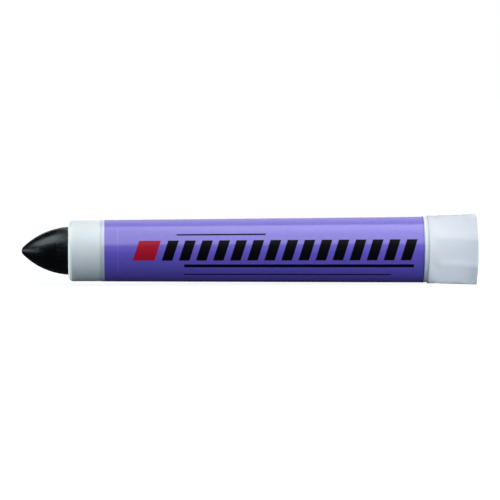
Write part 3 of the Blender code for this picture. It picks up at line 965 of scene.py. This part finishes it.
# %% Lay the floor
FLOOR_SIZE = 6.0
FLOOR_DROP = 0.02 * MM
bpy.ops.object.select_all(action="DESELECT")
bpy.ops.mesh.primitive_grid_add(
    x_subdivisions=4, y_subdivisions=4, size=FLOOR_SIZE, location=(0.0, 0.0, -FLOOR_DROP)
)
floor = bpy.context.object
floor.name = "studio_floor"
bpy.ops.object.transform_apply(location=True, rotation=True, scale=True)
print(f"floor {FLOOR_SIZE} m square, {FLOOR_DROP / MM} mm below the marker")

# %% Let the floor show white
WHITE = (1.0, 1.0, 1.0, 1.0)
BLACK = (0.0, 0.0, 0.0, 1.0)
GLOSSY_SHARE = 0.03
FLOOR_MATT = (0.19, 0.24, 0.27, 1.0)
FLOOR_GLOW_NEAR = 0.90
FLOOR_GLOW_FAR = 1.0
GLOW_RISES_FROM = 0.12
GLOW_FULL_AT = 0.45
FLOOR_BOUNCE = 0.04
FLOOR_COOL = (0.85, 1.0, 1.1, 1.0)
MIRRORED_DARKER = 0.8


def seen_as_white(tree):
    rays = tree.nodes.new("ShaderNodeLightPath")
    glossy = calculate(tree, "MULTIPLY", rays.outputs["Is Glossy Ray"], GLOSSY_SHARE)
    seen = calculate(tree, "ADD", rays.outputs["Is Camera Ray"], glossy)
    return calculate(tree, "ADD", seen, rays.outputs["Is Transmission Ray"], clamp=True)


floor_finish, tree, shader, place = new_finish("floor_white")
tree.nodes.remove(shader)
far = tree.nodes.new("ShaderNodeVectorMath")
far.operation = "LENGTH"
tree.links.new(place, far.inputs[0])
distance = far.outputs["Value"]
level = spread(tree, distance, GLOW_RISES_FROM, GLOW_FULL_AT, FLOOR_GLOW_NEAR, FLOOR_GLOW_FAR)
matt = tree.nodes.new("ShaderNodeBsdfDiffuse")
rays = tree.nodes.new("ShaderNodeLightPath")
dark_gloss = calculate(tree, "MULTIPLY", rays.outputs["Is Glossy Ray"], MIRRORED_DARKER)
tree.links.new(mix_colour(tree, dark_gloss, FLOOR_MATT, BLACK), matt.inputs["Color"])
glow = tree.nodes.new("ShaderNodeEmission")
bounce = calculate(tree, "MULTIPLY", rays.outputs["Is Diffuse Ray"], FLOOR_BOUNCE)
level = calculate(tree, "MULTIPLY", seen_as_white(tree), level)
tree.links.new(calculate(tree, "ADD", bounce, level), glow.inputs["Strength"])
glow_colour = mix_colour(tree, rays.outputs["Is Diffuse Ray"], WHITE, FLOOR_COOL)
tree.links.new(glow_colour, glow.inputs["Color"])
total = tree.nodes.new("ShaderNodeAddShader")
tree.links.new(glow.outputs["Emission"], total.inputs[0])
tree.links.new(matt.outputs["BSDF"], total.inputs[1])
tree.links.new(total.outputs["Shader"], tree.nodes["Material Output"].inputs["Surface"])
wear(floor_finish, floor)
print("floor wears", floor_finish.name)

# %% Set the world
WORLD_DIM = 0.075
WORLD_COOL = (0.75, 0.95, 1.1, 1.0)
world = bpy.data.worlds.new("white_studio")
bpy.context.scene.world = world
world.use_nodes = True
tree = world.node_tree
background = tree.nodes["Background"]
rays = tree.nodes.new("ShaderNodeLightPath")
dim = calculate(tree, "MULTIPLY", rays.outputs["Is Diffuse Ray"], WORLD_DIM)
sky = mix_colour(tree, rays.outputs["Is Diffuse Ray"], WHITE, WORLD_COOL)
tree.links.new(sky, background.inputs["Color"])
tree.links.new(calculate(tree, "ADD", dim, seen_as_white(tree)), background.inputs["Strength"])
print("world lights at", WORLD_DIM, "and shows white")

# %% [markdown]
# ## Lamps
# The long bright bands on the label are the mirror images of the lamps, so they tell where the lamps
# were. One broad soft lamp reaches from about twenty-five degrees above the camera's horizon, where the
# band on the label ends, to just past overhead. A short strip overhead and a lamp behind it brighten the
# top. A weak lamp at the left lifts the collar, one at the right the knob, and large dim cards in front
# and behind fill the shade. Each lamp is given by its radiance, which is the brightness of its mirror
# image, and the last two light without being mirrored.

# %% A lamp by its place and radiance
def hang_lamp(name, elevation, distance, size, radiance, azimuth=0.0, along=0.0, twist=0.0):
    """A soft lamp that faces the marker. Azimuth 0 is the camera's side, elevation 90 is overhead."""
    turn, climb = math.radians(azimuth), math.radians(elevation)
    level = distance * math.cos(climb)
    place = (
        along + level * math.sin(turn),
        -level * math.cos(turn),
        axis_z + distance * math.sin(climb),
    )
    facing = (math.pi / 2 - climb, 0.0, turn + math.radians(twist))
    bpy.ops.object.select_all(action="DESELECT")
    bpy.ops.object.light_add(type="AREA", location=place, rotation=facing)
    lamp = bpy.context.object
    lamp.name = name
    lamp.data.shape = "RECTANGLE"
    lamp.data.size, lamp.data.size_y = size
    lamp.data.energy = radiance * math.pi * size[0] * size[1]
    print(f"{name}: {lamp.data.energy:.2f} W")
    return lamp


# %% Hang the lamps
BROAD_ELEVATION = 64.1
BROAD_DISTANCE = 0.60
BROAD_HEIGHT = 1.00
CARD_DISTANCE = 1.60
hang_lamp("broad_lamp", BROAD_ELEVATION, BROAD_DISTANCE, (0.30, BROAD_HEIGHT), radiance=2.85, along=0.04)
hang_lamp("strip_lamp", 85.1, 0.55, size=(0.22, 0.295), radiance=0.85, along=0.08, twist=8)
hang_lamp("rear_lamp", 127.1, 0.60, size=(0.26, 0.46), radiance=1.3)
hang_lamp("left_fill", 27, 0.75, size=(0.37, 0.30), radiance=0.4, azimuth=-60)
hang_lamp("front_card", 10, CARD_DISTANCE, size=(1.00, 0.90), radiance=0.46, azimuth=8)
hang_lamp("rear_card", 12, CARD_DISTANCE, size=(1.20, 0.80), radiance=1.65, azimuth=180)
fill_card = hang_lamp("fill_card", 55, CARD_DISTANCE, size=(1.00, 0.60), radiance=1.25, azimuth=8)
right_lamp = hang_lamp("right_lamp", 11, 0.45, size=(0.30, 0.34), radiance=5.4, azimuth=62)
for unmirrored in (fill_card, right_lamp):
    unmirrored.visible_glossy = False

# %% [markdown]
# ## Lights for single pieces
# The stick is nearly black, so what shows on it is what it mirrors: a long streak on its shoulder and a
# short one at its nose. The collar's lip catches a light from the front. A studio would shade such lamps
# with flags, or they would glare on the label. Light linking does that here: each of these lamps reaches
# the pieces in one collection and no others. They stand further out than the stick ever reaches. Two
# wings lengthen the broad lamp to both sides for the film's gloss alone: from the front they hardly show,
# and from the side the film still looks like film.

# %% Light the stick and the lip
def light_only(lamp, *pieces):
    lit = bpy.data.collections.new(lamp.name + "_pieces")
    for piece in pieces:
        lit.objects.link(piece)
    lamp.light_linking.receiver_collection = lit
    lamp.visible_camera = False


BEYOND_THE_STICK = 0.170
point_card = hang_lamp("point_card", 0.5, BEYOND_THE_STICK, size=(0.126, 0.042), radiance=4.8, azimuth=-90)
point_card.visible_diffuse = False
light_only(point_card, stick)
tip_lamp = hang_lamp("tip_lamp", 72, 0.56, size=(0.75, 0.47), radiance=6.5, along=-0.56, twist=3)
tip_lamp.visible_diffuse = False
light_only(tip_lamp, stick, barrel)
lip_lamp = hang_lamp("lip_lamp", 0, BEYOND_THE_STICK, size=(0.018, 0.017), radiance=145, azimuth=-90)
lip_lamp.visible_glossy = False
light_only(lip_lamp, barrel)

# %% Lengthen the band for other views
WING_SIZE = (0.90, BROAD_HEIGHT)
for side, shift in (("left", -0.56), ("right", 0.64)):
    wing = hang_lamp(side + "_wing", BROAD_ELEVATION, BROAD_DISTANCE, WING_SIZE, radiance=2.0, along=shift)
    wing.visible_diffuse = False
    light_only(wing, film)

# %% [markdown]
# ## Close the lesson
# The view transform stays Standard, so a colour renders about as it is written.

# %% Set the view transform
bpy.context.scene.view_settings.view_transform = "Standard"
